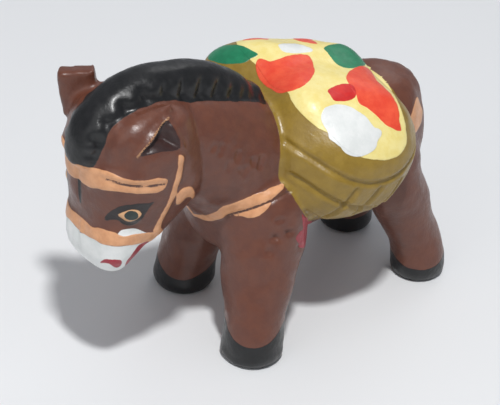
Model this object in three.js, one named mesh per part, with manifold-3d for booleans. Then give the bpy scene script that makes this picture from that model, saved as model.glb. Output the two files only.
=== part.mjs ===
// A small painted clay donkey that carries two laden baskets, fired as one piece.
// Millimetres, +Z up. The donkey faces -Y and its left side is +X.
// The origin is the middle of the bounding box on the ground.

import * as THREE from 'three';
import { ParametricGeometry } from 'three/addons/geometries/ParametricGeometry.js';
import { mergeVertices } from 'three/addons/utils/BufferGeometryUtils.js';
import Module from 'manifold-3d';

const wasm = await Module();
wasm.setup();

// Driving dimensions. Places are measured from the middle of the four hooves.
const LEFT = 1;
const RIGHT = -1;
const boxShift = new THREE.Vector3(0, 10.7, 0);

const clay = { color: 0x5e3a2c, roughness: 0.42, metalness: 0 };

// A station is one cross section: its middle, its half width across the donkey, its half
// height and its squareness, where 2 is an ellipse and more is boxier.
const trunk = [
  { y: -21.4, z: 20.5, wide: 0, high: 0, square: 2.0 },
  { y: -19.4, z: 20.8, wide: 6.0, high: 6.6, square: 2.2 },
  { y: -13.0, z: 22.0, wide: 8.4, high: 9.6, square: 2.3 },
  { y: -4.0, z: 22.3, wide: 9.2, high: 9.2, square: 2.3 },
  { y: 5.0, z: 22.8, wide: 9.0, high: 9.6, square: 2.3 },
  { y: 11.6, z: 23.4, wide: 7.9, high: 10.1, square: 2.4 },
  { y: 16.2, z: 22.8, wide: 5.8, high: 8.6, square: 2.4 },
  { y: 18.6, z: 22.0, wide: 0, high: 0, square: 2.0 },
];

const neck = [
  { y: -6.0, z: 24.5, wide: 0, high: 0, square: 2.1 },
  { y: -8.0, z: 24.8, wide: 6.6, high: 6.0, square: 2.1 },
  { y: -13.5, z: 26.0, wide: 8.4, high: 9.2, square: 2.2 },
  { y: -20.3, z: 29.8, wide: 7.6, high: 8.4, square: 2.3 },
  { y: -27.0, z: 33.6, wide: 6.6, high: 6.6, square: 2.3 },
  { y: -32.5, z: 35.4, wide: 4.4, high: 3.6, square: 2.2 },
  { y: -34.0, z: 35.6, wide: 0, high: 0, square: 2.2 },
];

const head = [
  { y: -35.8, z: 16.2, wide: 0, high: 0, square: 2.0 },
  { y: -35.8, z: 16.8, wide: 3.8, high: 2.2, square: 2.2 },
  { y: -35.5, z: 19.6, wide: 5.8, high: 4.2, square: 2.6 },
  { y: -34.5, z: 23.4, wide: 6.5, high: 5.3, square: 2.7 },
  { y: -32.5, z: 28.2, wide: 7.2, high: 7.0, square: 2.6 },
  { y: -32.2, z: 33.4, wide: 7.8, high: 7.5, square: 2.4 },
  { y: -31.8, z: 39.4, wide: 6.2, high: 6.2, square: 2.3 },
  { y: -31.2, z: 42.2, wide: 0, high: 0, square: 2.0 },
];

const mane = [
  { y: -40.4, z: 32.8, wide: 0, high: 0, square: 2.2 },
  { y: -40.4, z: 33.6, wide: 2.6, high: 1.6, square: 2.2 },
  { y: -39.8, z: 36.4, wide: 3.2, high: 2.2, square: 2.4 },
  { y: -37.0, z: 39.9, wide: 3.3, high: 2.6, square: 2.4 },
  { y: -32.0, z: 41.3, wide: 3.1, high: 2.9, square: 2.4 },
  { y: -26.8, z: 40.6, wide: 2.8, high: 3.3, square: 2.5 },
  { y: -21.8, z: 39.2, wide: 2.7, high: 3.7, square: 2.5 },
  { y: -17.6, z: 36.8, wide: 2.6, high: 3.8, square: 2.5 },
  { y: -14.6, z: 35.0, wide: 2.4, high: 3.3, square: 2.5 },
  { y: -12.0, z: 34.4, wide: 2.2, high: 2.8, square: 2.5 },
  { y: -11.2, z: 34.4, wide: 0, high: 0, square: 2.5 },
];
const ribs = { count: 15, depth: 0.34 };

// foot and top are the middle of the hoof and of the shoulder or hip, across and along.
const legs = [
  { side: LEFT, foot: [10.2, -17.7], top: [5.4, -12.6], ankle: 4.3, knee: 4.9, upper: 6.0 },
  { side: RIGHT, foot: [9.6, -14.9], top: [5.4, -11.8], ankle: 4.3, knee: 4.7, upper: 5.8 },
  { side: LEFT, foot: [7.2, 16.5], top: [4.2, 10.2], ankle: 4.1, knee: 4.3, upper: 5.7 },
  { side: RIGHT, foot: [7.6, 15.6], top: [4.2, 9.8], ankle: 4.1, knee: 4.3, upper: 5.7 },
];

// The load: two hanging baskets, one on each flank, and the goods heaped over the back.
// In plan it is a rounded square. It is rounder above its middle than below.
const load = {
  y: -1.7, z: 26.6, halfWide: 16.0, halfLong: 12.3, rise: 11.1, drop: 11.0,
  squarePlan: 2.6, squareAbove: 2.4, squareBelow: 3.0, valley: 1.0, valleyWide: 5.0,
};

// Grooves cut in a basket. from and to are places along the donkey, z is the height at from,
// slope is the fall at from and lift bends the groove up again.
const grooves = [
  { from: -12.6, to: 8.0, z: 31.8, slope: 1.02, lift: 0.042 },
  { from: -12.6, to: 7.0, z: 27.2, slope: 0.86, lift: 0.026 },
  { from: -10.8, to: -3.0, z: 21.8, slope: 0.98, lift: 0.03 },
  { from: -5.6, to: -8.2, z: 25.6, slope: 2.0, lift: 0 },
  { from: -1.4, to: -4.2, z: 24.6, slope: 1.5, lift: 0 },
  { from: 3.0, to: -0.4, z: 24.2, slope: 1.3, lift: 0 },
];
const groove = { radius: 0.45, sides: 4, pitch: 1.9 };

// Ears and tail. An ear leaf runs from root to tip and opens to the side.
const ear = {
  root: [5.2, -38.6, 34.6], tip: [5.6, -29.9, 40.9], halfWidth: 3.0, halfThick: 1.9,
  hollowOut: 1.9, hollowDown: 0.9, hollowShare: 0.64,
};
const brokenEar = { middle: [-7.4, -35.2, 38.7], half: [2.3, 1.25, 3.0], turn: 49, lean: -8 };
const earRoot = { middle: [-5.6, -34.6, 37.0], half: [2.6, 2.6, 3.0], turn: 0 };
const brow = { middle: [5.4, -37.3, 33.6], half: [3.3, 1.2, 1.0], turn: 45 };
const eye = { middle: [6.2, -36.5, 27.6], half: [1.7, 0.7, 1.1], turn: 62 };

const tail = [
  { y: 15.0, z: 30.4, wide: 0, high: 0, square: 2.0 },
  { y: 16.2, z: 29.9, wide: 1.4, high: 1.3, square: 2.0 },
  { y: 18.2, z: 26.6, wide: 1.5, high: 1.3, square: 2.0 },
  { y: 18.9, z: 21.6, wide: 1.7, high: 1.3, square: 2.0 },
  { y: 18.6, z: 16.0, wide: 1.6, high: 1.2, square: 2.0 },
  { y: 18.2, z: 12.6, wide: 0, high: 0, square: 2.0 },
];

const rising = new THREE.Vector3(0, 0, 1);
const rearward = new THREE.Vector3(0, 1, 0);
const across = new THREE.Vector3(1, 0, 0);

// Turns a closed geometry into a solid once its shared corners are merged.
function toSolid(geometry) {
  geometry.deleteAttribute('normal');
  geometry.deleteAttribute('uv');
  const merged = mergeVertices(geometry, 1e-4);
  const corners = merged.index.array;
  const kept = [];
  for (let i = 0; i < corners.length; i += 3) {
    const [a, b, c] = corners.slice(i, i + 3);
    if (a !== b && b !== c && a !== c) kept.push(a, b, c);
  }
  return new wasm.Manifold(new wasm.Mesh({
    numProp: 3,
    vertProperties: new Float32Array(merged.attributes.position.array),
    triVerts: new Uint32Array(kept),
  }));
}

function fromSolid(solid) {
  const mesh = solid.getMesh();
  const geometry = new THREE.BufferGeometry();
  geometry.setAttribute('position', new THREE.BufferAttribute(mesh.vertProperties, 3));
  geometry.setIndex(new THREE.BufferAttribute(mesh.triVerts, 1));
  geometry.computeVertexNormals();
  return geometry;
}

// A point on a rounded square of half size 1, at an angle given in turns.
function roundSquare(turn, square) {
  const c = Math.cos(turn * 2 * Math.PI);
  const s = Math.sin(turn * 2 * Math.PI);
  const reach = (Math.abs(c) ** square + Math.abs(s) ** square) ** (-1 / square);
  return [c * reach, s * reach];
}

// Skins a row of stations. Rings stand square to the path, or to facing where it is given.
// With flatStart the first ring is closed by a flat face, as under a hoof.
function loft(stations, { around, along, facing, relief, flatStart = false }) {
  const smooth = (pick) => new THREE.CatmullRomCurve3(stations.map(pick));
  const centres = smooth((s) => new THREE.Vector3(s.x ?? 0, s.y, s.z));
  const sizes = smooth((s) => new THREE.Vector3(s.wide, s.high, s.square));
  const centre = new THREE.Vector3();
  const size = new THREE.Vector3();
  const up = new THREE.Vector3();
  const skin = (u, v, target) => {
    const closed = v === 0 || v === 1;
    const t = flatStart ? Math.max(v * along - 1, 0) / (along - 1) : v;
    centres.getPoint(t, centre);
    sizes.getPoint(t, size);
    const [right, high] = roundSquare(u, size.z);
    const push = relief ? relief(u, v) : 0;
    up.crossVectors(facing ?? centres.getTangent(t), across).normalize();
    target.copy(centre);
    if (closed) return;
    target.addScaledVector(across, right * (size.x + push));
    target.addScaledVector(up, high * (size.y + push));
  };
  return toSolid(new ParametricGeometry(skin, around, along));
}

function makeLeg({ side, foot, top, ankle, knee, upper }) {
  const station = (share, z, wide, high) => ({
    x: side * THREE.MathUtils.lerp(foot[0], top[0], share),
    y: THREE.MathUtils.lerp(foot[1], top[1], share),
    z,
    wide,
    high,
    square: 2.1,
  });
  return loft([
    station(0, 0, ankle * 0.9, ankle * 0.9),
    station(0, 1.4, ankle * 1.03, ankle * 1.03),
    station(0.08, 5, ankle, ankle),
    station(0.35, 10, knee, knee),
    station(0.7, 15.5, upper * 0.92, upper),
    station(0.95, 20.5, upper, upper * 1.1),
    station(1, 25, upper * 0.8, upper * 0.9),
    station(1, 27.5, 0, 0),
  ], { around: 16, along: 17, facing: rising, flatStart: true });
}

function ribRelief(u, v) {
  const flank = Math.abs(Math.cos(u * 2 * Math.PI));
  return ribs.depth * flank * Math.cos(v * ribs.count * 2 * Math.PI);
}

// The load's skin. The goods dip a little over the spine.
function makeLoad() {
  const { y, z, halfWide, halfLong, rise, drop, valley, valleyWide } = load;
  const skin = (u, v, target) => {
    const above = v > 0.5;
    const [flatX, flatY] = roundSquare(u, load.squarePlan);
    const [down, out] = roundSquare(v / 2, above ? load.squareAbove : load.squareBelow);
    const reach = v === 0 || v === 1 ? 0 : out;
    const x = halfWide * flatX * reach;
    const dip = above ? valley * Math.exp(-((x / valleyWide) ** 2)) * Math.abs(down) : 0;
    target.set(x, y + halfLong * flatY * reach, z - (above ? rise : drop) * down - dip);
  };
  return toSolid(new ParametricGeometry(skin, 36, 20));
}

// The face of the load at a place along the donkey and a height.
function loadFace(side, y, z) {
  const above = z > load.z;
  const square = above ? load.squareAbove : load.squareBelow;
  const level = Math.min(Math.abs(z - load.z) / (above ? load.rise : load.drop), 1);
  const out = (1 - level ** square) ** (1 / square);
  const along = Math.abs(y - load.y) / load.halfLong;
  const left = Math.max(out ** load.squarePlan - along ** load.squarePlan, 0);
  return new THREE.Vector3(side * load.halfWide * left ** (1 / load.squarePlan), y, z);
}

function makeGroove(side, { from, to, z, slope, lift }) {
  const steps = Math.ceil(Math.abs(to - from) / groove.pitch);
  const points = [];
  for (let i = 0; i <= steps; i += 1) {
    const y = THREE.MathUtils.lerp(from, to, i / steps);
    const gone = Math.abs(y - from);
    points.push(loadFace(side, y, z - slope * gone + lift * gone ** 2));
  }
  const ring = new THREE.Shape();
  for (let i = 0; i < groove.sides; i += 1) {
    const turn = (i / groove.sides) * 2 * Math.PI;
    const corner = [groove.radius * Math.cos(turn), groove.radius * Math.sin(turn)];
    if (i === 0) ring.moveTo(...corner);
    else ring.lineTo(...corner);
  }
  const extrudePath = new THREE.CatmullRomCurve3(points);
  return toSolid(new THREE.ExtrudeGeometry(ring, { extrudePath, steps }));
}

// A ball stretched to half sizes, turned about the upright and set at a place.
function pebble({ middle, half, turn, lean = 0 }, side = LEFT, width = 12, height = 8) {
  const geometry = new THREE.SphereGeometry(1, width, height);
  geometry.scale(...half);
  geometry.rotateY(THREE.MathUtils.degToRad(lean * side));
  geometry.rotateZ(THREE.MathUtils.degToRad(turn * side));
  geometry.translate(side * middle[0], middle[1], middle[2]);
  return toSolid(geometry);
}

// A leaf from root to tip, thin across the donkey, with a hollow scooped from its lower half.
function makeEar() {
  const root = new THREE.Vector3(...ear.root);
  const tip = new THREE.Vector3(...ear.tip);
  const axis = tip.clone().sub(root);
  const length = axis.length();
  const leaf = (share, shift) => {
    const geometry = new THREE.SphereGeometry(1, 16, 14);
    const place = geometry.attributes.position;
    for (let i = 0; i < place.count; i += 1) {
      const taper = 1 - 0.35 * place.getY(i);
      place.setX(i, place.getX(i) * taper);
    }
    geometry.scale(ear.halfWidth * share, (length / 2) * share, ear.halfThick * share);
    geometry.rotateY(Math.PI / 2);
    geometry.rotateX(Math.atan2(axis.z, axis.y));
    geometry.translate(...root.clone().lerp(tip, 0.5).add(shift).toArray());
    return toSolid(geometry);
  };
  const scoop = new THREE.Vector3(ear.hollowOut, 0, -ear.hollowDown);
  return leaf(1, new THREE.Vector3()).subtract(leaf(ear.hollowShare, scoop));
}

// What is left of the right ear is a squared stump with a flat broken face.
function makeBrokenEar() {
  const { middle, half, turn, lean } = brokenEar;
  const geometry = new THREE.BoxGeometry(2 * half[0], 2 * half[1], 2 * half[2]);
  geometry.rotateY(THREE.MathUtils.degToRad(lean));
  geometry.rotateZ(THREE.MathUtils.degToRad(turn));
  geometry.translate(...middle);
  return toSolid(geometry);
}

const parts = [
  loft(trunk, { around: 22, along: 18, facing: rearward }),
  loft(neck, { around: 20, along: 15 }),
  loft(head, { around: 24, along: 21, facing: rising }),
  loft(mane, { around: 12, along: 60, relief: ribRelief }),
  loft(tail, { around: 10, along: 14 }),
  makeLoad(),
  makeEar(),
  makeBrokenEar(),
  pebble(earRoot),
  pebble(brow),
  pebble(brow, RIGHT),
  pebble(eye),
  pebble(eye, RIGHT),
  ...legs.map(makeLeg),
];

let whole = parts[0];
for (const part of parts.slice(1)) whole = whole.add(part);
for (const line of grooves) {
  whole = whole.subtract(makeGroove(LEFT, line)).subtract(makeGroove(RIGHT, line));
}

const donkey = new THREE.Mesh(fromSolid(whole), new THREE.MeshStandardMaterial(clay));
donkey.name = 'donkey';
donkey.position.copy(boxShift);

const figurine = new THREE.Group();
figurine.add(donkey);

export default figurine;
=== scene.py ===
import math

import bpy
import numpy as np
from mathutils import Matrix, Vector


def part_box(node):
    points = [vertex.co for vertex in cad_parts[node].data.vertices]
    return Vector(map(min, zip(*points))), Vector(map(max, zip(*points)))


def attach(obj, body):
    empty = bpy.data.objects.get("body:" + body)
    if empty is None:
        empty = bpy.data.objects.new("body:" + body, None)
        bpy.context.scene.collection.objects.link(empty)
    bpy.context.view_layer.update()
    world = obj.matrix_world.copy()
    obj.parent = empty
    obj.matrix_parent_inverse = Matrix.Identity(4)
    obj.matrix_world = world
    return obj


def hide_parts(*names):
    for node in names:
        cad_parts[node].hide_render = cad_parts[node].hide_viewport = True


# A small painted clay donkey with a heaped load. All sizes here are millimetres, measured from
# the middle of the four hooves on the ground. The donkey faces -Y and its left side is +X.
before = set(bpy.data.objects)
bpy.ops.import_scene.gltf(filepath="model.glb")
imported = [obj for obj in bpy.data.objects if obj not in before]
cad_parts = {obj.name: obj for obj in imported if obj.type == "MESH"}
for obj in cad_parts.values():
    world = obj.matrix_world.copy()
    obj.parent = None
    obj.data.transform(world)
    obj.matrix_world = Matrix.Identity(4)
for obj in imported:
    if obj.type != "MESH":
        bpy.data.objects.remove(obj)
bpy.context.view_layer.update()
metre = 0.001  # one millimetre
across = np.array([1.0, 0.0, 0.0])
rearward = np.array([0.0, 1.0, 0.0])
rising = np.array([0.0, 0.0, 1.0])
left, right = 1, -1
seed = np.random.default_rng(23)

# where the photograph was taken from
photo = {
    "place": (166.42, -153.28, 152.80),
    "aim": (-0.64655, 0.55221, -0.52635),
    "roll": 4.0,  # degrees
    "lens": 131.5,
    "sensor": 36.0,
    "wide": 500,  # pixels
    "high": 405,
}


def photoAxes():
    # Right and up of the picture: level right and its upright, turned by the roll.
    aim = np.array(photo["aim"])
    level = np.cross(aim, rising)
    level /= np.linalg.norm(level)
    upright = np.cross(level, aim)
    turn = math.radians(photo["roll"])
    return (
        math.cos(turn) * level + math.sin(turn) * upright,
        math.cos(turn) * upright - math.sin(turn) * level,
        aim,
    )


def inPhoto(points):
    # Pixel of each point: sideways and upward offset over depth, times the focal length.
    toRight, toUp, aim = photoAxes()
    focal = photo["lens"] / photo["sensor"] * photo["wide"]
    away = points - np.array(photo["place"])
    depth = away @ aim
    u = photo["wide"] / 2 + focal * (away @ toRight) / depth
    v = photo["high"] / 2 - focal * (away @ toUp) / depth
    return np.stack([u, v], 1), focal / depth


# Tools for smooth forms

def curveThrough(places, share):
    # A smooth curve through the places. Each stretch is a cubic whose end slopes come from the
    # neighbouring places, weighed by the square roots of the gaps. share runs from 0 to 1.
    places = np.asarray(places, float)
    last = len(places) - 1
    ends = np.vstack([2 * places[0] - places[1], places, 2 * places[-1] - places[-2]])
    gap = np.maximum(np.linalg.norm(np.diff(ends, axis=0), axis=1), 1e-4) ** 0.5
    step = np.minimum((share * last).astype(int), last - 1)
    w = (share * last - step)[:, None]
    a, b, c, d = (ends[step + i] for i in range(4))
    ga, gb, gc = (gap[step + i][:, None] for i in range(3))
    slopeB = ((b - a) / ga - (c - a) / (ga + gb) + (c - b) / gb) * gb
    slopeC = ((c - b) / gb - (d - b) / (gb + gc) + (d - c) / gc) * gb
    bend = 3 * (c - b) - 2 * slopeB - slopeC
    twist = 2 * (b - c) + slopeB + slopeC
    return b + slopeB * w + bend * w**2 + twist * w**3


def squareRing(turn, square):
    # A point on a rounded square: (cos, sin) divided by (|cos|^n + |sin|^n)^(1/n).
    c, s = np.cos(2 * np.pi * turn), np.sin(2 * np.pi * turn)
    reach = (np.abs(c) ** square + np.abs(s) ** square) ** (-1 / square)
    return c * reach, s * reach


def endSpread(count):
    # Shares from 0 to 1 that crowd towards both ends: half of 1 - cos.
    return (1 - np.cos(np.linspace(0, np.pi, count))) / 2


def closedSkin(rings):
    # Quads between rings of points, with a fan to the middle of the first and of the last ring.
    count, around, _ = rings.shape
    points = np.vstack([rings.reshape(-1, 3), rings[0].mean(0), rings[-1].mean(0)])
    i, j = np.meshgrid(np.arange(count - 1), np.arange(around), indexing="ij")
    k = (j + 1) % around
    quads = np.stack([i * around + j, i * around + k, (i + 1) * around + k, (i + 1) * around + j], -1)
    quads = quads.reshape(-1, 4)
    a = np.arange(around)
    b = (a + 1) % around
    base = (count - 1) * around
    first = np.stack([b, a, np.full(around, count * around)], 1)
    final = np.stack([base + a, base + b, np.full(around, count * around + 1)], 1)
    return points, [*quads.tolist(), *first.tolist(), *final.tolist()]


def loft(stations, around=72, along=90, facing=None, relief=None, flatStart=False):
    # Rings strung along a smooth path through the stations. A ring is a rounded square that
    # stands square to the path, or to facing. A station is x, y, z, half width, half height,
    # squareness. relief(u, v) is added to both half sizes.
    stations = np.asarray(stations, float)
    v = endSpread(along + 2)[1:-1]
    if flatStart:
        v = np.linspace(0, 1, along + 1)[:-1]
    u = np.linspace(0, 1, around, endpoint=False)[None, :]
    middle = curveThrough(stations[:, :3], v)
    size = curveThrough(stations[:, 3:], v)
    step = 1e-3
    slope = curveThrough(stations[:, :3], np.minimum(v + step, 1)) - curveThrough(
        stations[:, :3], np.maximum(v - step, 0))
    path = slope if facing is None else np.broadcast_to(facing, slope.shape)
    up = np.cross(path, across)
    up /= np.linalg.norm(up, axis=1)[:, None]
    right, high = squareRing(u, np.maximum(size[:, 2:3], 1.6))
    push = relief(u, v[:, None]) if relief else 0
    right = right * (np.maximum(size[:, 0:1], 0.02) + push)
    high = high * (np.maximum(size[:, 1:2], 0.02) + push)
    rings = middle[:, None, :] + right[..., None] * across + high[..., None] * up[:, None, :]
    return closedSkin(rings)


def ball(middle, half, turn=0, lean=0, around=36, along=24):
    # An ellipsoid: (cos u sin v, sin u sin v, cos v) times the half sizes, leaned and turned.
    u = np.linspace(0, 2 * np.pi, around, endpoint=False)[None, :]
    v = np.linspace(0, np.pi, along + 2)[1:-1, None]
    rings = np.stack(np.broadcast_arrays(np.cos(u) * np.sin(v), np.sin(u) * np.sin(v), np.cos(v)), -1)
    turned = Matrix.Rotation(math.radians(turn), 3, "Z") @ Matrix.Rotation(math.radians(lean), 3, "Y")
    return closedSkin(rings * np.array(half) @ np.array(turned).T + np.array(middle))


def spine(rows):
    # Stations on the middle plane: rows of y, z, half width, half height, squareness.
    return [(0, *row) for row in rows]


# The body: trunk, neck, tail and legs

body = {
    "trunk": [
        (-21.4, 20.5, 0, 0, 2.0), (-19.4, 20.8, 6.0, 6.6, 2.2), (-13.0, 22.0, 8.4, 9.6, 2.3),
        (-4.0, 22.3, 9.2, 9.2, 2.3), (5.0, 22.8, 9.0, 9.6, 2.3), (11.6, 23.2, 7.9, 9.8, 2.4),
        (16.2, 22.8, 5.8, 8.6, 2.4), (18.6, 22.0, 0, 0, 2.0),
    ],
    "neck": [
        (-6.0, 24.5, 0, 0, 2.1), (-8.0, 24.8, 6.6, 6.0, 2.1), (-13.5, 26.0, 8.4, 9.2, 2.2),
        (-20.3, 29.8, 7.6, 8.4, 2.3), (-27.0, 33.6, 6.6, 6.6, 2.3), (-32.5, 35.4, 4.4, 3.6, 2.2),
        (-34.0, 35.6, 0, 0, 2.2),
    ],
    "tail": [
        (15.0, 30.4, 0, 0, 2.0), (16.2, 29.9, 1.4, 1.3, 2.0), (18.2, 26.6, 1.5, 1.3, 2.0),
        (18.9, 21.6, 1.7, 1.3, 2.0), (18.6, 16.0, 1.6, 1.2, 2.0), (18.2, 12.6, 0, 0, 2.0),
    ],
    # side, hoof x and y, shoulder or hip x and y, ankle, knee and upper half thickness
    "legs": [
        (left, 10.2, -17.7, 5.4, -12.6, 4.3, 4.9, 6.0),
        (right, 9.6, -14.9, 5.4, -11.8, 4.3, 4.7, 5.8),
        (left, 7.3, 16.5, 4.2, 9.0, 4.05, 4.3, 5.5),
        (right, 9.0, 16.3, 4.2, 9.2, 4.1, 4.3, 5.5),
    ],
    "grain": 0.42,  # mesh size while the limbs are blended in
    "blend": 26,  # rounds of softening where limbs join
}


def makeLeg(side, footX, footY, topX, topY, ankle, knee, upper):
    # Rings that stay level while their middle slides from the hoof to the hip.
    rows = [
        (0, 0, ankle * 0.9, ankle * 0.9), (0, 1.4, ankle * 1.03, ankle * 1.03),
        (0.08, 5, ankle, ankle), (0.35, 10, knee, knee), (0.7, 15.5, upper * 0.92, upper),
        (0.95, 20.5, upper, upper * 1.1), (1, 25, upper * 0.8, upper * 0.9), (1, 27.5, 0, 0),
    ]
    stations = [
        (side * (footX + s * (topX - footX)), footY + s * (topY - footY), z, wide, high, 2.1)
        for s, z, wide, high in rows
    ]
    return loft(stations, facing=rising, flatStart=True)


# The head, its mane and ears

face = {
    "head": [
        (-36.4, 16.6, 0, 0, 2.0), (-36.4, 17.2, 3.7, 1.9, 2.2), (-36.5, 19.6, 5.5, 3.2, 2.5),
        (-34.7, 22.6, 6.4, 5.2, 2.6), (-32.1, 25.6, 7.2, 7.6, 2.6), (-31.3, 29.0, 8.1, 8.7, 2.5),
        (-31.8, 33.6, 8.8, 8.3, 2.4), (-31.8, 39.2, 7.4, 6.6, 2.3), (-31.2, 42.2, 0, 0, 2.0),
    ],
    "browMiddle": (5.9, -37.4, 33.6), "browHalf": (3.3, 1.2, 1.0), "browTurn": 45,
    "eyeMiddle": (6.5, -36.5, 27.4), "eyeHalf": (1.7, 0.8, 1.1), "eyeTurn": 62,
}

mane = {
    "rows": [
        (-40.2, 33.0, 0, 0, 2.2), (-40.2, 33.8, 2.3, 1.4, 2.2), (-39.4, 36.7, 2.9, 2.0, 2.4),
        (-36.6, 39.7, 3.0, 2.4, 2.4), (-31.8, 41.1, 3.0, 2.9, 2.4), (-26.8, 40.4, 2.9, 3.4, 2.5),
        (-21.8, 38.5, 2.8, 4.0, 2.5), (-17.6, 35.8, 2.8, 4.2, 2.5), (-14.8, 34.2, 2.7, 3.7, 2.5),
        (-12.0, 34.0, 2.5, 2.9, 2.5), (-11.2, 34.0, 0, 0, 2.5),
    ],
    "ribs": 18,
    "ribDepth": 0.5,
    "cap": 0.72,  # height on the ring, from -1 to 1, above which the mane is smooth
}


def ribRelief(u, v):
    # Ribs on both flanks: rounded ridges |cos| along the mane, fading out towards the smooth cap.
    high = -np.sin(2 * np.pi * u)
    flank = np.clip((mane["cap"] - high) / 0.25, 0, 1) * np.abs(np.cos(2 * np.pi * u)) ** 0.5
    ridge = np.abs(np.sin(np.pi * (mane["ribs"] * v + 0.15 * np.sin(9 * v)))) ** 0.7
    return mane["ribDepth"] * flank * (2 * ridge - 1.35)


ears = {
    "root": (4.5, -39.0, 34.6), "tip": (5.3, -29.6, 41.3), "halfWidth": 2.7, "halfThick": 2.2,
    "stump": {"middle": (-7.5, -35.2, 38.9), "half": (2.4, 1.3, 3.1), "turn": 49, "lean": -8},
    "knob": {"middle": (-5.6, -34.6, 37.0), "half": (2.6, 2.6, 3.0)},
}


def makeEar():
    # A leaf along its axis: the ring at v is an ellipse scaled by sin(pi v) to a power, with
    # its widest place moved towards the root.
    root, tip = np.array(ears["root"]), np.array(ears["tip"])
    axis = (tip - root) / np.linalg.norm(tip - root)
    outward = across - axis * (across @ axis)
    outward /= np.linalg.norm(outward)
    downward = np.cross(axis, outward)
    a = np.linspace(0, 2 * np.pi, 64, endpoint=False)[None, :]
    v = endSpread(62)[1:-1, None]
    swell = np.sin(np.pi * v**0.8) ** 0.75
    p = swell * ears["halfWidth"] * np.cos(a)
    q = swell * ears["halfThick"] * np.sin(a)
    middle = root + (tip - root) * v
    return closedSkin(middle[:, None, :] + p[..., None] * downward + q[..., None] * outward)


def makeStump():
    # What is left of the right ear: a block whose rings are nearly square.
    stump = ears["stump"]
    u = np.linspace(0, 1, 64, endpoint=False)[None, :]
    v = np.linspace(-1, 1, 24)[:, None]
    x, y = squareRing(u, 9.0)
    rings = np.stack(np.broadcast_arrays(x, y, v), -1) * np.array(stump["half"])
    turned = (Matrix.Rotation(math.radians(stump["turn"]), 3, "Z")
              @ Matrix.Rotation(math.radians(stump["lean"]), 3, "Y"))
    return closedSkin(rings @ np.array(turned).T + np.array(stump["middle"]))


# The load: goods heaped over the back and a basket on each flank

load = {
    "y": -1.7, "z": 26.6, "halfWide": 16.0, "halfLong": 12.3, "rise": 11.1, "drop": 11.0,
    "squarePlan": 2.6, "squareAbove": 2.0, "squareBelow": 2.3, "valley": 1.0, "valleyWide": 5.0,
}

# soft swellings of the goods: middle, how wide and how high
swells = [
    ((-1.0, 5.6, 36.0), 3.6, 2.2),
    ((5.0, -8.2, 35.2), 4.2, 1.2),
    ((-7.5, -5.5, 36.6), 5.0, 1.8),
    ((-11.5, -9.0, 33.4), 4.2, 2.2),
    ((11.0, 3.6, 32.4), 3.0, 0.8),
]


def swelling(points):
    # Sum of the swellings: each is its height times exp(-(distance / width)^2).
    total = 0
    for middle, wide, high in swells:
        gap = np.linalg.norm(points - np.array(middle), axis=-1)
        total = total + high * np.exp(-((gap / wide) ** 2))
    return total


def makeLoad():
    # A rounded square in plan, carried over a rounded arc from bottom to top. Above the middle
    # the goods dip over the spine by valley * exp(-(x / valleyWide)^2).
    u = np.linspace(0, 1, 160, endpoint=False)[None, :]
    v = endSpread(122)[1:-1, None]
    above = v > 0.5
    flatX, flatY = squareRing(u, load["squarePlan"])
    down, out = squareRing(v / 2, np.where(above, load["squareAbove"], load["squareBelow"]))
    x = load["halfWide"] * flatX * out
    y = load["y"] + load["halfLong"] * flatY * out
    dip = np.where(above, load["valley"] * np.exp(-((x / load["valleyWide"]) ** 2)) * np.abs(down), 0)
    z = load["z"] - np.where(above, load["rise"], load["drop"]) * down - dip
    rings = np.stack([x, y, z], -1)
    outward = (rings - np.array([0, load["y"], load["z"]])) / np.array(
        [load["halfWide"], load["halfLong"], load["rise"]])
    outward /= np.linalg.norm(outward, axis=2)[..., None]
    return closedSkin(rings + outward * swelling(rings)[..., None])


# Meshes as arrays

def toObject(name, parts):
    # One object that holds all the parts side by side.
    points, faces, start = [], [], 0
    for partPoints, partFaces in parts:
        points.append(partPoints)
        faces.extend([[start + corner for corner in face] for face in partFaces])
        start += len(partPoints)
    mesh = bpy.data.meshes.new(name)
    mesh.from_pydata(np.vstack(points), [], faces)
    obj = bpy.data.objects.new(name, mesh)
    bpy.context.scene.collection.objects.link(obj)
    return obj


def fused(parts, grain):
    # The parts as one closed skin of even quads.
    obj = toObject("parts", parts)
    remesh = obj.modifiers.new("fuse", "REMESH")
    remesh.mode = "VOXEL"
    remesh.voxel_size = grain
    graph = bpy.context.evaluated_depsgraph_get()
    mesh = bpy.data.meshes.new_from_object(obj.evaluated_get(graph))
    points = np.empty(len(mesh.vertices) * 3)
    mesh.vertices.foreach_get("co", points)
    quads = np.empty(len(mesh.loops), int)
    mesh.loops.foreach_get("vertex_index", quads)
    edges = np.empty(len(mesh.edges) * 2, int)
    mesh.edges.foreach_get("vertices", edges)
    bpy.data.objects.remove(obj)
    return points.reshape(-1, 3), quads.reshape(-1, 4), edges.reshape(-1, 2)


def neighbourMean(values, edges):
    # The mean of each vertex's neighbours along the edges.
    count = len(values)
    a, b = edges.T
    ends = np.bincount(a, minlength=count) + np.bincount(b, minlength=count)
    total = np.stack([
        np.bincount(a, column[b], count) + np.bincount(b, column[a], count)
        for column in values.reshape(count, -1).T
    ], 1)
    return (total / ends[:, None]).reshape(values.shape)


def normalsOf(points, quads):
    # Vertex normals: the sum of the cross products of each quad's diagonals.
    a, b, c, d = (points[quads[:, i]] for i in range(4))
    facing = np.cross(c - a, d - b)
    total = np.stack([
        np.bincount(quads.ravel(), np.repeat(facing[:, i], 4), len(points)) for i in range(3)
    ], 1)
    return total / np.maximum(np.linalg.norm(total, axis=1), 1e-9)[:, None]


def relax(points, edges, rounds, share=0.5, keep=1.0):
    # Moves each vertex a share of the way to its neighbours' mean, keep times.
    for _ in range(rounds):
        points = points + (neighbourMean(points, edges) - points) * (share * keep)
    return points


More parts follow.
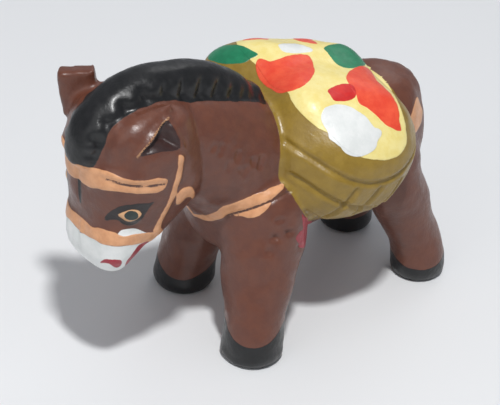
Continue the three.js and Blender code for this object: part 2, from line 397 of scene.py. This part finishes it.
def creases(points, quads, edges, reach=6):
    # How hollow the skin is about each vertex, from 0 to 1, spread over a few edges.
    dip = ((neighbourMean(points, edges) - points) * normalsOf(points, quads)).sum(1)
    hollow = np.clip(dip / 0.05, 0, 1)
    for _ in range(reach):
        hollow = np.maximum(hollow, neighbourMean(hollow, edges))
    return np.clip(hollow * 1.5, 0, 1)[:, None]


def waves(points, size, count=28):
    # An even unevenness: cosines of random directions and phases, about size long, added up.
    aim = seed.normal(size=(count, 3))
    aim /= np.linalg.norm(aim, axis=1)[:, None]
    rate = 2 * np.pi / (size * seed.uniform(0.7, 1.4, count))
    phase = seed.uniform(0, 2 * np.pi, count)
    return np.cos(points @ (aim * rate[:, None]).T + phase).sum(1) * math.sqrt(2 / count)


def step(value, start, end):
    # Rises smoothly from 0 at start to 1 at end: 3t^2 - 2t^3.
    t = np.clip((value - start) / (end - start), 0, 1)
    return t * t * (3 - 2 * t)


def bell(value, width):
    # exp of minus the square of value over width.
    return np.exp(-((value / width) ** 2))


def roundOutline(corners, steps=6):
    # A closed curve through the corners; at each its slope is half the way between neighbours.
    here = np.asarray(corners, float)[:, None, :]
    after, second = np.roll(here, -1, 0), np.roll(here, -2, 0)
    slope, slopeAfter = (after - np.roll(here, 1, 0)) / 2, (second - here) / 2
    w = (np.arange(steps) / steps)[None, :, None]
    curve = (here * (1 - 3 * w**2 + 2 * w**3) + after * (3 * w**2 - 2 * w**3)
             + slope * (w - 2 * w**2 + w**3) + slopeAfter * (w**3 - w**2))
    return curve.reshape(-1, 2)


def gapTo(spots, start, end):
    # Distance from each spot to the nearest of the straight stretches from start to end.
    least = np.full(len(spots), 1e9)
    for a, b in zip(start, end):
        along = b - a
        share = np.clip((spots - a) @ along / max(along @ along, 1e-9), 0, 1)
        least = np.minimum(least, np.linalg.norm(spots - a - share[:, None] * along, axis=1))
    return least


def inOutline(spots, corners, perMm, reach=3.0):
    # Millimetres inside a closed outline, negative outside; perMm is the pixels to a millimetre.
    ring = roundOutline(corners)
    margin = reach * perMm.max()
    near = ((spots > ring.min(0) - margin) & (spots < ring.max(0) + margin)).all(1)
    value = np.full(len(spots), -reach)
    some = spots[near]
    if not len(some):
        return value
    after = np.roll(ring, -1, 0)
    gap = gapTo(some, ring, after)
    odd = np.zeros(len(some), bool)
    for a, b in zip(ring, after):
        if a[1] != b[1]:
            beside = (a[1] > some[:, 1]) != (b[1] > some[:, 1])
            odd ^= beside & (some[:, 0] < (b[0] - a[0]) * (some[:, 1] - a[1]) / (b[1] - a[1]) + a[0])
    value[near] = np.clip(np.where(odd, gap, -gap) / perMm[near], -reach, reach)
    return value


def alongStroke(spots, corners, perMm, reach=3.0):
    # Millimetres to an open curve through the corners.
    line = curveThrough(corners, np.linspace(0, 1, 8 * len(corners)))
    return np.minimum(gapTo(spots, line[:-1], line[1:]) / perMm, reach)


def besideCurve(points, curve, reach=3.0):
    # Millimetres to a curve in space.
    near = ((points > curve.min(0) - reach) & (points < curve.max(0) + reach)).all(1)
    value = np.full(len(points), reach)
    value[near] = np.minimum(gapTo(points[near], curve[:-1], curve[1:]), reach)
    return value


bodyParts = [
    loft(spine(body["trunk"]), facing=rearward),
    loft(spine(body["neck"])),
    loft(spine(body["tail"]), around=32, along=50),
    *[makeLeg(*leg) for leg in body["legs"]],
]
points, quads, edges = fused(bodyParts, body["grain"])
print("body fused", len(points))
soft = creases(points, quads, edges)
points = relax(points, edges, body["blend"], keep=soft)
bodySkin = (points, quads.tolist())

parts = [
    bodySkin,
    loft(spine(face["head"]), facing=rising),
    loft(spine(mane["rows"]), around=64, along=400, relief=ribRelief),
    makeLoad(),
    makeEar(),
    makeStump(),
    ball(ears["knob"]["middle"], ears["knob"]["half"]),
]
for side in (left, right):
    x, y, z = face["browMiddle"]
    parts.append(ball((side * x, y, z), face["browHalf"], side * face["browTurn"]))
    x, y, z = face["eyeMiddle"]
    parts.append(ball((side * x, y, z), face["eyeHalf"], side * face["eyeTurn"]))
points, quads, edges = fused(parts, 0.33)
points = relax(points, edges, 3)
print("donkey fused", len(points), len(quads))

# Where each part of the skin is

def reachOfLoad(points):
    # Millimetres outside the load: the rounded square's own size at the point, less one.
    across, along = np.abs(points[:, 0]) / load["halfWide"], np.abs(points[:, 1] - load["y"]) / load["halfLong"]
    flat = (across ** load["squarePlan"] + along ** load["squarePlan"]) ** (1 / load["squarePlan"])
    above = points[:, 2] > load["z"]
    level = np.abs(points[:, 2] - load["z"]) / np.where(above, load["rise"], load["drop"])
    square = np.where(above, load["squareAbove"], load["squareBelow"])
    return ((flat**square + level**square) ** (1 / square) - 1) * load["halfLong"] - 1.25 * swelling(points)


def reachOfMane(points):
    # Millimetres outside the mane, from the nearest of its rings in the side view.
    rows = np.array(mane["rows"])
    share = np.linspace(0, 1, 160)
    middle = curveThrough(rows[:, :2], share)
    size = curveThrough(rows[:, 2:], share)
    slope = np.gradient(middle, axis=0)
    slope /= np.linalg.norm(slope, axis=1)[:, None]
    away = points[:, None, 1:] - middle[None]
    best = np.argmin((away**2).sum(2), 1)
    off = away[np.arange(len(points)), best]
    along = slope[best]
    beside = off[:, 0] * along[:, 1] - off[:, 1] * along[:, 0]
    wide, high = np.maximum(size[best, 0], 0.3), np.maximum(size[best, 1], 0.3)
    square = size[best, 2]
    ring = (np.abs(points[:, 0] / wide) ** square + np.abs(beside / high) ** square) ** (1 / square)
    return (ring - 1) * 2.6


points = points.astype(float)
toCamera = np.array(photo["place"]) - points
toCamera /= np.linalg.norm(toCamera, axis=1)[:, None]
normals = normalsOf(points, quads)
if (points * normals).sum() < 0:
    quads = quads[:, ::-1]
    normals = -normals
mirror = np.where(points[:, :1] < 0, [[-1.0, 1, 1]], [[1.0, 1, 1]])
twin = points * mirror  # each point as if it were on the left side
spots, perMm = inPhoto(points)
twinSpots, twinPerMm = inPhoto(twin)
faces = ((normals * toCamera).sum(1))
twinFaces = (normals * mirror * toCamera).sum(1)
offLoad = reachOfLoad(points)
offMane = reachOfMane(points)
isLoad = step(-offLoad, -0.6, 0.0)
isMane = step(-offMane, -0.7, -0.1)
isHead = step(-points[:, 1], 24.5, 26.5) * step(points[:, 2], 12, 14)
isBody = (1 - isHead) * (1 - isLoad)
print("regions found")

# Painted and pressed marks on the head and the body, in pixels of the photograph. They are
# mirrored to the right side.
marks = {
    "browBand": [
        (50, 150), (65, 158), (75, 163), (85, 166), (93, 168), (103, 170), (111, 173), (119, 177), (132, 180),
        (142, 180), (152, 179), (160, 178), (168, 180), (165, 188), (157, 192), (147, 193), (137, 193), (126, 192),
        (116, 191), (107, 190), (98, 188), (91, 187), (84, 183), (78, 177), (70, 170), (50, 158),
    ],
    "cheekStrap": [
        (178, 155), (184, 157), (184, 167), (182, 177), (179, 184), (176, 192), (172, 202), (168, 210), (162, 220),
        (158, 231), (152, 231), (154, 226), (158, 218), (162, 211), (166, 204), (169, 197), (173, 186), (176, 176),
        (178, 166),
    ],
    "loop": [
        (176, 195), (180, 190), (185, 187), (190, 186), (193, 190), (194, 196), (192, 199), (189, 196), (185, 197),
        (180, 203), (176, 204),
    ],
    "noseBand": [
        (60, 195), (68, 200), (72, 204), (75, 211), (81, 218), (87, 223), (93, 227), (99, 228), (104, 229),
        (110, 231), (116, 233), (121, 236), (127, 236), (140, 233), (149, 232), (154, 230), (159, 226), (164, 233),
        (161, 236), (154, 239), (145, 242), (137, 244), (129, 245), (120, 246), (115, 246), (108, 245), (101, 243),
        (96, 240), (91, 238), (86, 236), (81, 233), (76, 226), (72, 221), (67, 217), (60, 213),
    ],
    "chestStrap": [
        (186, 211), (198, 213), (207, 213), (215, 211), (222, 206), (230, 203), (240, 199), (247, 196), (256, 193),
        (264, 191), (272, 187), (281, 184), (286, 181), (284, 185), (284, 188), (281, 191), (276, 196), (271, 200),
        (262, 204), (250, 208), (240, 211), (228, 214), (222, 217), (213, 219.5), (205, 219), (198, 216), (186, 214),
    ],
    "tongue": [
        (229, 216), (240, 213), (250, 210), (262, 206), (271, 201), (270, 205), (264, 212), (256, 217), (248, 218),
        (240, 216),
    ],
    "nostril": [(100, 263), (104, 260), (110, 259.5), (116, 259.5), (121, 260), (122, 263), (120, 266),
                (116, 267.5), (112, 266), (108, 264)],
    "eyeWhite": [(117, 215.7), (124.6, 211.5), (131.3, 209.9), (137.1, 210.3), (141.2, 213.2), (138.7, 218.1),
                 (134.6, 221.5), (129.6, 222.7), (124.6, 221.5), (120.5, 219)],
    "whitePatch": [(118, 233.5), (122, 230.6), (129, 229.3), (135.5, 229), (140.5, 230.2), (145.5, 232.2),
                   (150, 232.5), (140, 236), (128, 238), (118, 237)],
    "girth": [
        (301, 214), (305, 217), (309, 218), (312, 222), (316, 227), (312, 233), (309, 235), (307, 241), (305, 247),
        (301, 248), (299, 244), (295, 238), (299, 232), (303, 229), (302, 222),
    ],
    "breeching": [(417, 97), (423, 109), (422, 122), (415, 133), (409, 124), (411, 113)],
    # the ear's hollow: pressed in, and painted dark as the shade inside it
    "shadedEarHollow": [(167, 120), (180, 147), (160, 152), (139, 156), (152, 140)],
    "earRim": [(137, 157), (150, 141), (160, 127), (168, 118)],
    "earBack": [(169, 119), (176, 132), (182, 146)],
    "mouth": [(147, 243), (141, 247), (137, 251), (132.5, 257), (127, 265.5)],
    # black eyelid lines round the eye, widened above it into painted shade of the socket under the brow
    "lidsAndSocketShade": [(104, 219), (108, 213.5), (116, 208.5), (124, 205.5), (133, 204), (141, 202.5), (148, 202),
             (155, 201), (150, 205.5), (147, 210), (143.5, 215.5), (140, 220.5), (135.5, 224.5), (129.5, 226),
             (123, 225), (117.5, 221.5), (112, 220.5), (107, 221)],
    "strapLine": [(228, 215), (240, 212), (250, 209), (262, 204.5), (271, 200.5), (280, 195.5), (290, 190)],
    "bandLine": [(106, 180), (120, 184), (136, 186), (150, 186), (165, 184.5)],
}

# Relief pressed into the clay while it was soft

relief = {
    "waveSize": 7.0, "waveHigh": 0.12, "dentSize": 2.4, "dentHigh": 0.022,
    "grooveWidth": 0.32, "grooveDepth": 0.42, "grooveLip": 0.07,
    "ticks": [
        ((222, 146), (219, 154)), ((214.5, 145.5), (212.5, 149.5)), ((239, 153), (236, 160)),
        ((262, 158), (259.5, 167)), ((254, 160), (253, 164)), ((246, 168), (243, 174)), ((229, 163), (227, 169)),
        ((281, 219.5), (277, 221)), ((291.6, 231), (288.5, 233)), ((276.5, 237.7), (272.5, 238)),
    ],
    "pits": [((269, 252), 0.5), ((277, 239), 0.5), ((288, 233), 0.4), ((300, 247), 0.35), ((240, 170), 0.3)],
    # place along the donkey from and to, height at the start, fall at the start, bend upwards
    "grooves": [
        (-12.6, 8.0, 31.8, 1.02, 0.042), (-12.6, 7.0, 27.2, 0.86, 0.026), (-10.8, -3.0, 21.8, 0.98, 0.03),
        (-5.6, -8.2, 25.6, 2.0, 0), (-1.4, -4.2, 24.6, 1.5, 0), (3.0, -0.4, 24.2, 1.3, 0),
    ],
}


def onLoadFace(side, y, z):
    # The place on the load's face at a length and a height, by its rounded square.
    above = z > load["z"]
    square = np.where(above, load["squareAbove"], load["squareBelow"])
    level = np.minimum(np.abs(z - load["z"]) / np.where(above, load["rise"], load["drop"]), 1)
    out = (1 - level**square) ** (1 / square)
    along = np.abs(y - load["y"]) / load["halfLong"]
    left = np.maximum(out ** load["squarePlan"] - along ** load["squarePlan"], 0)
    return np.stack([side * load["halfWide"] * left ** (1 / load["squarePlan"]), y, z], 1)


push = relief["waveHigh"] * waves(points, relief["waveSize"]) * (1 - 0.7 * isMane)
push += relief["dentHigh"] * waves(points, relief["dentSize"]) * (1 - 0.6 * isLoad)
push *= step(points[:, 2], 0.3, 2.0)

for side in (left, right):
    for start, end, z, slope, lift in relief["grooves"]:
        y = np.linspace(start, end, 50)
        gone = np.abs(y - start)
        curve = onLoadFace(side, y, z - slope * gone + lift * gone**2)
        gap = besideCurve(points, curve)
        push -= isLoad * relief["grooveDepth"] * bell(gap, relief["grooveWidth"])
        push += isLoad * relief["grooveLip"] * bell(gap - 0.75, 0.35)

seen = step(twinFaces, 0.02, 0.15)


def mark(name, region):
    # Millimetres inside one of the marks, on both sides, where the region is.
    return np.where(region > 0.5, inOutline(twinSpots, marks[name], twinPerMm), -3.0)


def stroke(name, region):
    # Millimetres to one of the marks' lines.
    return np.where((region > 0.5) & (twinFaces > 0), alongStroke(twinSpots, marks[name], twinPerMm), 3.0)


browBand, noseBand = mark("browBand", isHead), mark("noseBand", isHead)
cheekStrap, loop = mark("cheekStrap", isHead), mark("loop", np.ones(len(points)))
chestStrap, tongue = mark("chestStrap", isBody), mark("tongue", isBody)
isLeft = (points[:, 0] > 2).astype(float)
shadedEarHollow = mark("shadedEarHollow", isLeft * (points[:, 2] > 33)) * 1.0
push += 0.18 * step(cheekStrap, -0.3, 0.25) + 0.12 * step(noseBand, -0.3, 0.25) + 0.2 * step(loop, -0.3, 0.3)
push += 0.12 * step(browBand, -0.3, 0.25) - 0.16 * bell(stroke("bandLine", isHead), 0.3)
push += 0.16 * step(chestStrap, -0.25, 0.2) * seen - 0.28 * bell(stroke("strapLine", isBody), 0.33)
for start, end in relief["ticks"]:
    gap = np.where((isBody > 0.5) & (twinFaces > 0), alongStroke(twinSpots, [start, end], twinPerMm), 3.0)
    push += -0.22 * bell(gap, 0.3) + 0.07 * bell(gap - 0.6, 0.3)
for place, size in relief["pits"]:
    gap = np.linalg.norm(twinSpots - np.array(place), axis=1) / twinPerMm
    push -= np.where((isBody > 0.5) & (twinFaces > 0.1), 0.35 * bell(gap, size), 0)

points = points + normals * push[:, None]
hollow = step(shadedEarHollow, 0.0, 1.3) * step(twinFaces, 0.0, 0.3)
points = points - np.array([1.5, 0.2, 0.1]) * hollow[:, None]
rim = (isLeft > 0.5) & (points[:, 2] > 33)
for name, high in (("earRim", 0.3), ("earBack", 0.25)):
    points = points + normals * (np.where(rim, high * bell(stroke(name, isLeft), 0.4), 0))[:, None]
print("relief pressed")

# Paint: how many millimetres each vertex lies inside each colour

patches = {
    "yellow": [[
        (257, 66), (250, 60), (241, 50), (236, 40), (240, 24), (300, 20), (362, 34), (382, 62), (388, 84),
        (396, 100), (402, 114), (405, 127), (406, 141), (403, 149), (398, 155), (390, 159), (381, 160), (370, 159),
        (361, 157), (345, 149), (330, 134), (318, 128), (306, 118), (297, 109), (291, 100), (287, 92), (272, 86),
    ]],
    "green": [
        [(208, 59), (213, 52), (221, 47), (231, 45), (242, 46), (251, 50), (258, 54.5), (251, 59), (244, 63),
         (235, 64.5), (223, 64), (214, 61.5)],
        [(324, 49), (332, 45), (344, 42.5), (355, 44), (362, 50), (366, 56), (368, 62), (363, 66), (355, 68),
         (348, 68), (339, 65), (332, 59), (327, 53)],
    ],
    "red": [
        [(256, 63), (259, 58.5), (265, 59.5), (270, 61.5), (279, 59), (288, 56), (295, 55), (303, 54.5), (309, 56),
         (312, 61), (314, 68), (314.5, 73), (310, 80), (303, 86.5), (295, 90), (288, 92), (279, 93), (272, 89.5),
         (264, 84), (259, 78), (256, 70)],
        [(346, 79), (349, 72), (355, 68), (363, 66), (369, 69), (374, 75), (377, 81), (384, 88), (391, 96),
         (397, 106), (399, 114), (399, 120), (401, 131), (392, 128), (383, 122), (375, 114), (367, 108),
         (359, 103), (356, 95), (350, 87)],
        [(242, 40), (250, 36.5), (262, 35.5), (274, 36), (268, 38), (256, 39), (247, 40)],
        [(282, 36), (291, 35), (300, 36.5), (309, 40), (318, 45), (308, 44), (299, 41.5), (290, 38)],
    ],
    "darkRed": [[
        (328, 90), (332, 86.5), (339, 84.5), (348, 84.5), (353, 87), (356, 94), (354, 98), (348, 100.5),
        (340, 100.5), (334, 100), (331, 95),
    ]],
    "white": [
        [(321, 117), (324, 109), (332, 105), (341, 104), (350, 106), (358, 111), (367, 118), (374, 127), (380, 129),
         (382, 134), (378, 141), (376, 148), (370, 153), (361, 156.5), (352, 156), (345, 153), (340, 147),
         (335, 143), (329, 138), (328, 132), (323, 124)],
        [(278, 46), (285, 44), (294, 44), (303, 46), (312, 50), (312, 52), (303, 53.5), (291, 54), (283, 52.5)],
    ],
}


def patch(name):
    # The patches of one colour where the camera sees the load, or their mirror image beyond.
    front, back = np.full(len(points), -3.0), np.full(len(points), -3.0)
    for corners in patches[name]:
        front = np.maximum(front, inOutline(spots, corners, perMm))
        back = np.maximum(back, inOutline(twinSpots, corners, twinPerMm))
    sight = step(faces, -0.35, -0.2)
    return np.where((offLoad < 0.8), front * sight + back * (1 - sight), -3.0)


def toMillimetres(value):
    return np.clip(value, -3, 3)


headTop = points[:, 2] - 20
maneEdge = toMillimetres(0.55 - offMane)
hoofEdge = np.full(len(points), -3.0)
hoofs = {
    "height": [(4.0, 1.7), (3.0, 2.0), (2.6, 1.2), (3.0, 1.2)],  # lowest edge and rise at the sides
}
for (side, x, y, *_), (lowest, rise) in zip(body["legs"], hoofs["height"]):
    off = points[:, :2] - np.array([side * x, y])
    away = np.linalg.norm(off, axis=1)
    facing = (off @ np.array([0.76, -0.65])) / np.maximum(away, 0.1)
    edge = lowest + rise * (1 - np.abs(facing) ** 1.5) - points[:, 2]
    hoofEdge = np.maximum(hoofEdge, np.where(away < 7.5, edge, -3))
tailEdge = np.where((points[:, 1] > 16.5) & (np.abs(points[:, 0]) < 2.2), 22 - points[:, 2], -3)

belowBand = np.where(isHead > 0.5, inOutline(twinSpots, [
    (60, 213), (67, 217), (72, 221), (76, 226), (81, 233), (86, 236), (91, 238), (96, 240), (101, 243), (108, 245),
    (115, 246), (120, 246), (129, 245), (137, 244), (145, 242), (154, 239), (165, 236), (180, 240), (170, 300),
    (60, 300), (30, 260), (40, 215)], twinPerMm), -3.0)

paint = {
    "black": toMillimetres(np.maximum.reduce([maneEdge, hoofEdge, tailEdge])),
    "olive": toMillimetres(0.45 - offLoad),
    "yellow": patch("yellow"),
    "green": patch("green"),
    "red": patch("red"),
    "darkRed": patch("darkRed"),
    "white": np.maximum.reduce([patch("white"), belowBand, mark("whitePatch", isHead)]),
    "strap": np.maximum.reduce([browBand, noseBand, cheekStrap, loop, chestStrap, tongue,
                                mark("breeching", isBody)]),
    "crimson": np.maximum.reduce([mark("nostril", isHead), mark("girth", isBody),
                                  0.3 - stroke("mouth", isHead)]),
    "eyeWhite": mark("eyeWhite", isHead),
    # painted eyelid lines, and painted shade of the eye socket above them
    "lidAndSocketShade": mark("lidsAndSocketShade", isHead),
    # painted shade along the incised lines of the chest strap and the brow band
    "line": np.maximum(0.16 - stroke("strapLine", isBody), 0.12 - stroke("bandLine", isHead)),
    "earRim": 0.14 - stroke("earRim", isLeft),
    # painted shade inside the ear's hollow
    "shadedEarHollow": shadedEarHollow,
}
pupilOff = (twinSpots - np.array([131.3, 216.1])) / np.array([7.3, 5.2])
paint["pupil"] = np.where(isHead > 0.5, (1 - np.linalg.norm(pupilOff, axis=1)) * 1.0, -3)
print("paint laid")

low, high = (np.array(corner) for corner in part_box("donkey"))
shift = np.array([0, ((low + high) / 2)[1] / metre - (points[:, 1].min() + points[:, 1].max()) / 2, 0])

donkeyMesh = bpy.data.meshes.new("paintedDonkey")
donkeyMesh.from_pydata((points + shift) * metre, [], quads.tolist())
donkeyMesh.shade_smooth()
for name, value in paint.items():
    layer = donkeyMesh.attributes.new(name, "FLOAT", "POINT")
    layer.data.foreach_set("value", value.astype(np.float32))
donkey = bpy.data.objects.new("paintedDonkey", donkeyMesh)
bpy.context.scene.collection.objects.link(donkey)

# Paint as a material: each colour covers the ones before it where its attribute is above zero

colours = {
    "brown": ((0.120, 0.040, 0.024), (0.142, 0.047, 0.026)),
    "olive": ((0.25, 0.155, 0.018), (0.30, 0.19, 0.024)),
    "black": ((0.003, 0.0035, 0.004), (0.008, 0.008, 0.009)),
    "yellow": ((0.83, 0.68, 0.22), (0.88, 0.76, 0.32)),
    "green": ((0.006, 0.17, 0.075), (0.012, 0.22, 0.10)),
    "red": ((0.76, 0.055, 0.022), (0.84, 0.10, 0.040)),
    "darkRed": ((0.55, 0.010, 0.010), (0.65, 0.022, 0.016)),
    "white": ((0.72, 0.74, 0.72), (0.80, 0.81, 0.79)),
    "strap": ((0.62, 0.29, 0.135), (0.75, 0.38, 0.19)),
    "crimson": ((0.28, 0.010, 0.022), (0.38, 0.018, 0.035)),
    "eyeWhite": ((0.62, 0.33, 0.16), (0.70, 0.40, 0.20)),
    "pupil": ((0.020, 0.032, 0.028), (0.028, 0.042, 0.036)),
    # eyelid black, which is also painted shade of the eye socket
    "lidAndSocketShade": ((0.010, 0.007, 0.007), (0.016, 0.010, 0.010)),
    # painted shade for the incised lines
    "line": ((0.09, 0.035, 0.022), (0.12, 0.05, 0.03)),
    "earRim": ((0.34, 0.17, 0.08), (0.42, 0.22, 0.11)),
    # painted shade inside the ear's hollow
    "shadedEarHollow": ((0.030, 0.013, 0.012), (0.045, 0.018, 0.015)),
}
layers = ["shadedEarHollow", "earRim", "black", "olive", "yellow", "green", "red", "darkRed", "white", "strap", "crimson",
          "line", "lidAndSocketShade", "eyeWhite", "pupil"]

clay = bpy.data.materials.new("paintedClay")
clay.use_nodes = True
tree = clay.node_tree
shader = tree.nodes["Principled BSDF"]


def node(kind, **values):
    made = tree.nodes.new(kind)
    for key, value in values.items():
        setattr(made, key, value)
    return made


def sum2(kind, a, b, c=None):
    # One Math node; a, b and c are sockets or numbers.
    made = node("ShaderNodeMath", operation=kind)
    for socket, value in zip(made.inputs, (a, b, c)):
        if value is None:
            continue
        if isinstance(value, (int, float)):
            socket.default_value = value
        else:
            tree.links.new(value, socket)
    return made.outputs[0]


def noise(size, detail=4.0, rough=0.55):
    # Noise whose features are about size millimetres.
    made = node("ShaderNodeTexNoise")
    tree.links.new(place, made.inputs["Vector"])
    made.inputs["Scale"].default_value = 1 / (size * metre)
    made.inputs["Detail"].default_value = detail
    made.inputs["Roughness"].default_value = rough
    return made.outputs["Fac"]


def ramp(value, start, end, low=0.0, high=1.0):
    made = node("ShaderNodeMapRange", interpolation_type="SMOOTHSTEP")
    tree.links.new(value, made.inputs["Value"])
    for key, number in (("From Min", start), ("From Max", end), ("To Min", low), ("To Max", high)):
        made.inputs[key].default_value = number
    return made.outputs["Result"]


def blend(mask, a, b):
    # Colour b over colour a by the mask.
    made = node("ShaderNodeMix", data_type="RGBA")
    if isinstance(mask, (int, float)):
        made.inputs["Factor"].default_value = mask
    else:
        tree.links.new(mask, made.inputs["Factor"])
    for socket, value in ((made.inputs[6], a), (made.inputs[7], b)):
        if isinstance(value, tuple):
            socket.default_value = (*value, 1)
        else:
            tree.links.new(value, socket)
    return made.outputs[2]


place = node("ShaderNodeTexCoord").outputs["Object"]
wobble = sum2("SUBTRACT", noise(1.1, 3), 0.5)
streak = noise(1.6, 5, 0.6)
colour = blend(ramp(streak, 0.35, 0.65), *colours["brown"])
height = None
for name in layers:
    inside = node("ShaderNodeAttribute", attribute_name=name).outputs["Fac"]
    edge = sum2("MULTIPLY_ADD", wobble, 0.22, inside)
    mask = ramp(edge, -0.05, 0.05)
    colour = blend(mask, colour, blend(ramp(streak, 0.3, 0.7), *colours[name]))
    thick = ramp(edge, -0.08, 0.10, 0, 0.05)
    height = thick if height is None else sum2("ADD", height, thick)
tree.links.new(colour, shader.inputs["Base Color"])
rough = ramp(noise(0.9, 4), 0.3, 0.7, 0.30, 0.46)
tree.links.new(rough, shader.inputs["Roughness"])
shader.inputs["Coat Weight"].default_value = 0.12
shader.inputs["Coat Roughness"].default_value = 0.22
bump = node("ShaderNodeBump")
bump.inputs["Distance"].default_value = metre
bump.inputs["Strength"].default_value = 1.0
fine = sum2("MULTIPLY_ADD", noise(0.6, 4, 0.6), 0.06, height)
tree.links.new(fine, bump.inputs["Height"])
tree.links.new(bump.outputs["Normal"], shader.inputs["Normal"])
donkeyMesh.materials.append(clay)

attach(donkey, "root")
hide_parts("donkey")

# Floor, light and camera

def makeFloor():
    mesh = bpy.data.meshes.new("floor")
    half = 1.2
    mesh.from_pydata([(-half, -half, 0), (half, -half, 0), (half, half, 0), (-half, half, 0)], [], [(0, 1, 2, 3)])
    floor = bpy.data.objects.new("floor", mesh)
    bpy.context.scene.collection.objects.link(floor)
    paper = bpy.data.materials.new("palePaper")
    paper.use_nodes = True
    paper.node_tree.nodes["Principled BSDF"].inputs["Base Color"].default_value = (0.78, 0.79, 0.80, 1)
    paper.node_tree.nodes["Principled BSDF"].inputs["Roughness"].default_value = 0.9
    mesh.materials.append(paper)


lights = {
    "key": {"from": (0.34, -0.22, 0.92), "away": 0.6, "size": 0.05, "power": 2.7},
    "front": {"from": (0.2, -0.9, 0.55), "away": 0.6, "size": 0.4, "power": 0.35},
    "back": {"from": (-0.5, 0.8, 0.9), "away": 0.7, "size": 0.4, "power": 0.4},
}


def addLight(name, values):
    lamp = bpy.data.lights.new(name, "AREA")
    lamp.shape = "DISK"
    lamp.size = values["size"]
    lamp.energy = values["power"]
    obj = bpy.data.objects.new(name, lamp)
    toward = Vector(values["from"]).normalized()
    obj.location = toward * values["away"] + Vector((0, 0, 0.02))
    obj.rotation_euler = toward.to_track_quat("Z", "Y").to_euler()
    bpy.context.scene.collection.objects.link(obj)


def addCamera():
    toRight, toUp, aim = photoAxes()
    camera = bpy.data.cameras.new("camera")
    camera.lens = photo["lens"]
    camera.sensor_width = photo["sensor"]
    camera.clip_start = 0.01
    obj = bpy.data.objects.new("camera", camera)
    place = (np.array(photo["place"]) + shift) * metre
    turn = Matrix([toRight, toUp, -aim]).transposed()
    obj.matrix_world = Matrix.Translation(place) @ turn.to_4x4()
    bpy.context.scene.collection.objects.link(obj)
    bpy.context.scene.camera = obj


makeFloor()
for name, values in lights.items():
    addLight(name, values)
addCamera()
world = bpy.data.worlds.new("studio")
bpy.context.scene.world = world
world.use_nodes = True
world.node_tree.nodes["Background"].inputs["Color"].default_value = (0.9, 0.93, 1.0, 1)
world.node_tree.nodes["Background"].inputs["Strength"].default_value = 0.34
bpy.context.scene.view_settings.view_transform = "Standard"
